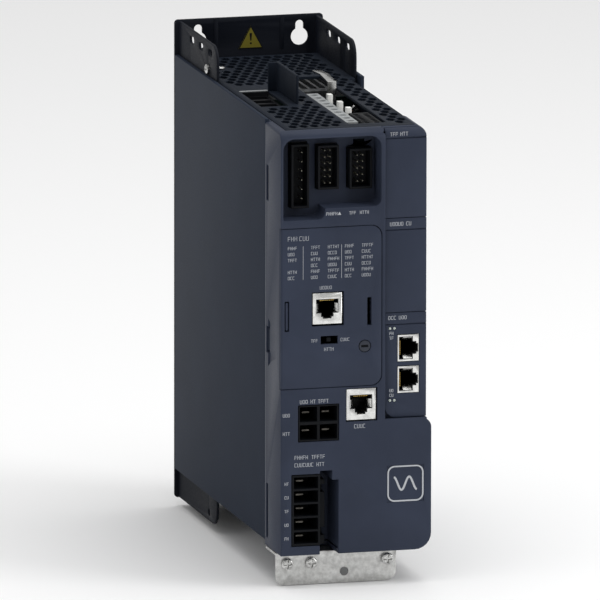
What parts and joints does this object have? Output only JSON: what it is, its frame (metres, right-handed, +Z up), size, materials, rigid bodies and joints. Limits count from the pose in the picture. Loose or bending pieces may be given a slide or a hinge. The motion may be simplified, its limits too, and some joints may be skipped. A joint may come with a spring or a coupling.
{
  "type": "servo drive",
  "caption": "Narrow wall-mounted servo drive with a vented case on a sheet-metal bracket, a hinged control cover, plug-in connectors, a cooling fan and a cable shield plate.",
  "frame": {"origin": "middle of the bracket's wall face", "axes": "+X to the right seen from the front, +Y into the wall so the front faces -Y, +Z up"},
  "size_m": [0.085, 0.2325, 0.2745],
  "materials": {
    "bracket_coat": "fine powder coat",
    "label_film": "printed film",
    "screw_zinc": "zinc plated",
    "heatsink_aluminium": "extruded",
    "thermal_pad": "soft pad",
    "module_plastic": "moulded",
    "circuit_board": "solder mask",
    "capacitor_sleeve": "shrink sleeve",
    "copper_winding": "enamelled copper wire",
    "relay_plastic": "moulded",
    "insulator": "insulating sheet",
    "case_plastic": "fine texture",
    "front_plastic": "fine texture",
    "deck_plastic": "fine texture",
    "lock_plastic": "moulded",
    "light_pipe": "clear moulded",
    "badge_ring": "printed outline",
    "header_black": "moulded",
    "pin_metal": "tinned pins",
    "jack_metal": "nickel plated shell",
    "jack_black": "moulded",
    "contact_gold": "gold plated",
    "bus_metal": "tinned copper",
    "terminal_grey": "moulded",
    "marker_white": "moulded",
    "clip_steel": "plated spring steel",
    "fan_black": "moulded",
    "shield_zinc": "zinc plated sheet"
  },
  "bodies": {
    "drive_body": {"mounting_bracket": "bracket_coat", "warning_label": "label_film", "earth_screw": "screw_zinc", "deck_screw": "screw_zinc", "heatsink": "heatsink_aluminium", "thermal_pad": "thermal_pad", "power_module": "module_plastic", "rectifier_module": "module_plastic", "power_board": "circuit_board", "dc_capacitors": "capacitor_sleeve", "emc_choke": "copper_winding", "relays": "relay_plastic", "current_sensors": "module_plastic", "insulating_sheet": "insulator", "board_link": "header_black", "control_board": "circuit_board", "board_screws": "screw_zinc", "main_housing": "case_plastic", "top_grille": "deck_plastic", "cable_divider": "deck_plastic", "front_shell": "front_plastic", "ethernet_module_face": "front_plastic", "ethernet_board": "circuit_board", "light_pipes": "light_pipe", "badge": "badge_ring", "io_header_left": "header_black", "io_header_middle": "header_black", "io_header_right": "header_black", "io_header_pins": "pin_metal", "hmi_jack_shell": "jack_metal", "hmi_jack_insert": "jack_black", "modbus_jack_shell": "jack_metal", "modbus_jack_insert": "jack_black", "ethernet_jack_shells": "jack_metal", "ethernet_jack_inserts": "jack_black", "jack_contacts": "contact_gold", "polarity_switch_body": "module_plastic", "dc_bus_header": "header_black", "dc_bus_contacts": "bus_metal", "motor_header": "header_black", "motor_contacts": "bus_metal", "motor_latch_rail": "header_black", "mains_header": "header_black", "mains_contacts": "bus_metal", "top_board": "circuit_board", "top_terminal_block": "terminal_grey", "terminal_markers": "marker_white", "top_shield_clip": "clip_steel", "top_connector": "header_black", "shield_plate": "shield_zinc", "shield_plate_screws": "screw_zinc"},
    "control_cover": {"control_cover": "front_plastic"},
    "cover_lock": {"cover_lock_screw": "lock_plastic"},
    "polarity_knob": {"polarity_switch_knob": "header_black"},
    "fan_unit": {"fan_frame": "fan_black"},
    "fan_rotor": {"fan_rotor": "fan_black"},
    "safety_cover": {"safety_slot_cover": "front_plastic"},
    "encoder_cover": {"encoder_slot_cover": "front_plastic"}
  },
  "joints": [
    {"name": "control_cover_hinge", "type": "hinge", "parent": "drive_body", "child": "control_cover", "pos_m": [-0.0413, -0.2313, 0.0161], "axis": [0, 0, -1], "range_deg": [0, 110]},
    {"name": "cover_lock_turn", "type": "hinge", "parent": "control_cover", "child": "cover_lock", "pos_m": [0.0048, -0.2315, -0.0063], "axis": [0, -1, 0], "range_deg": [0, 90]},
    {"name": "polarity_switch_slide", "type": "slide", "parent": "drive_body", "child": "polarity_knob", "axis": [1, 0, 0], "range_m": [-0.0032, 0.0032]},
    {"name": "fan_unit_pull", "type": "slide", "parent": "drive_body", "child": "fan_unit", "axis": [0, 0, -1], "range_m": [0, 0.03]},
    {"name": "fan_spin", "type": "hinge", "parent": "fan_unit", "child": "fan_rotor", "pos_m": [0, -0.0405, -0.11], "axis": [0, 0, 1], "continuous": true},
    {"name": "safety_cover_pull", "type": "slide", "parent": "drive_body", "child": "safety_cover", "axis": [0, -1, 0], "range_m": [0, 0.03]},
    {"name": "encoder_cover_pull", "type": "slide", "parent": "drive_body", "child": "encoder_cover", "axis": [0, -1, 0], "range_m": [0, 0.03]}
  ]
}
